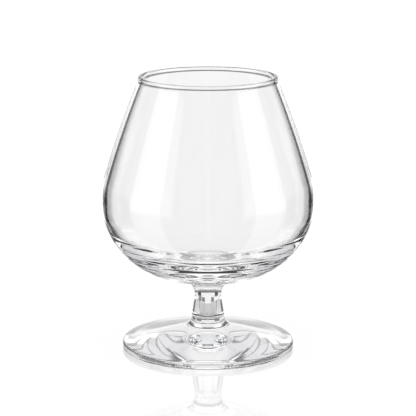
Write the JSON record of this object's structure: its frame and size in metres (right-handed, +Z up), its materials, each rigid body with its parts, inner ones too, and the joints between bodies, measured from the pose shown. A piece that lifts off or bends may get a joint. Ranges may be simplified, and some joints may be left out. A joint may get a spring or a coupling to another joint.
{
  "type": "brandy snifter",
  "caption": "Footed drinking glass with a wide rounded bowl that narrows to the mouth, a short waisted stem and a round foot.",
  "frame": {"origin": "middle of the foot's resting ring, on the surface that the glass stands on", "axes": "+Z up along the glass's axis of revolution, from the foot to the lip; +X and +Y are any two directions across it"},
  "size_m": [0.095, 0.095, 0.1224],
  "materials": {
    "clear_glass": "clear, fire-polished"
  },
  "bodies": {
    "root": {"bowl": "clear_glass", "stem": "clear_glass", "foot": "clear_glass"}
  },
  "joints": []
}
